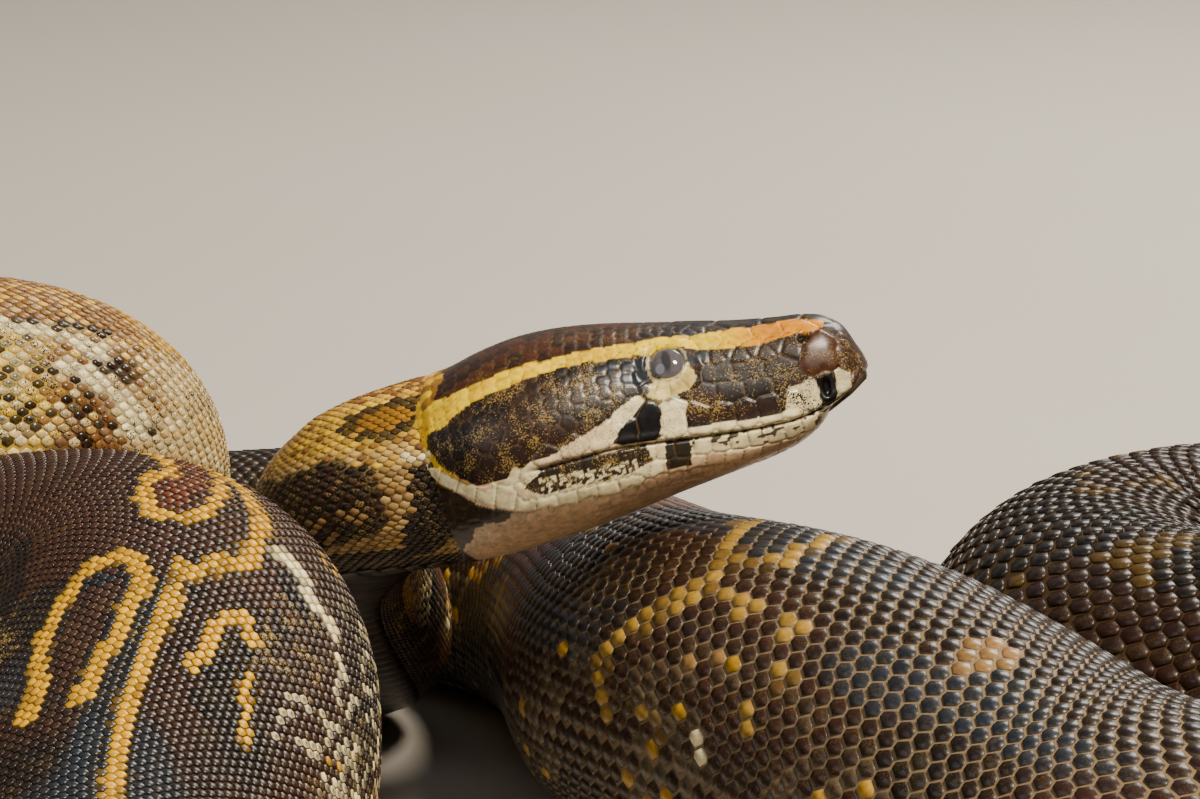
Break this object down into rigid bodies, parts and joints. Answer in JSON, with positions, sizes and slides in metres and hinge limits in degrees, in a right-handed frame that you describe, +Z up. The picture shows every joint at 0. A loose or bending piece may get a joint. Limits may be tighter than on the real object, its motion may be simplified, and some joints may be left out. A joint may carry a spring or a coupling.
{
  "type": "coiled african rock python, still model",
  "caption": "Life-size still model of an African rock python at rest: loose coils flat on the floor, head lying on a coil.",
  "frame": {"origin": "on the floor, below the middle of the coils' bounding box", "axes": "+X towards the snout and along the coils' longest side, +Y away from the side that the head shows, +Z up"},
  "size_m": [0.6464, 0.5132, 0.1332],
  "materials": {
    "scales": "smooth glossy scales, dark brown with gold and cream markings",
    "eye": "wet gloss, dark blue-grey"
  },
  "bodies": {
    "root": {"head": "scales", "lower_jaw": "scales", "neck": "scales", "trunk_01": "scales", "trunk_02": "scales", "trunk_03": "scales", "trunk_04": "scales", "trunk_05": "scales", "trunk_06": "scales", "trunk_07": "scales", "trunk_08": "scales", "trunk_09": "scales", "trunk_10": "scales", "trunk_11": "scales", "trunk_12": "scales", "tail": "scales", "eye_left": "eye", "eye_right": "eye"}
  },
  "joints": []
}
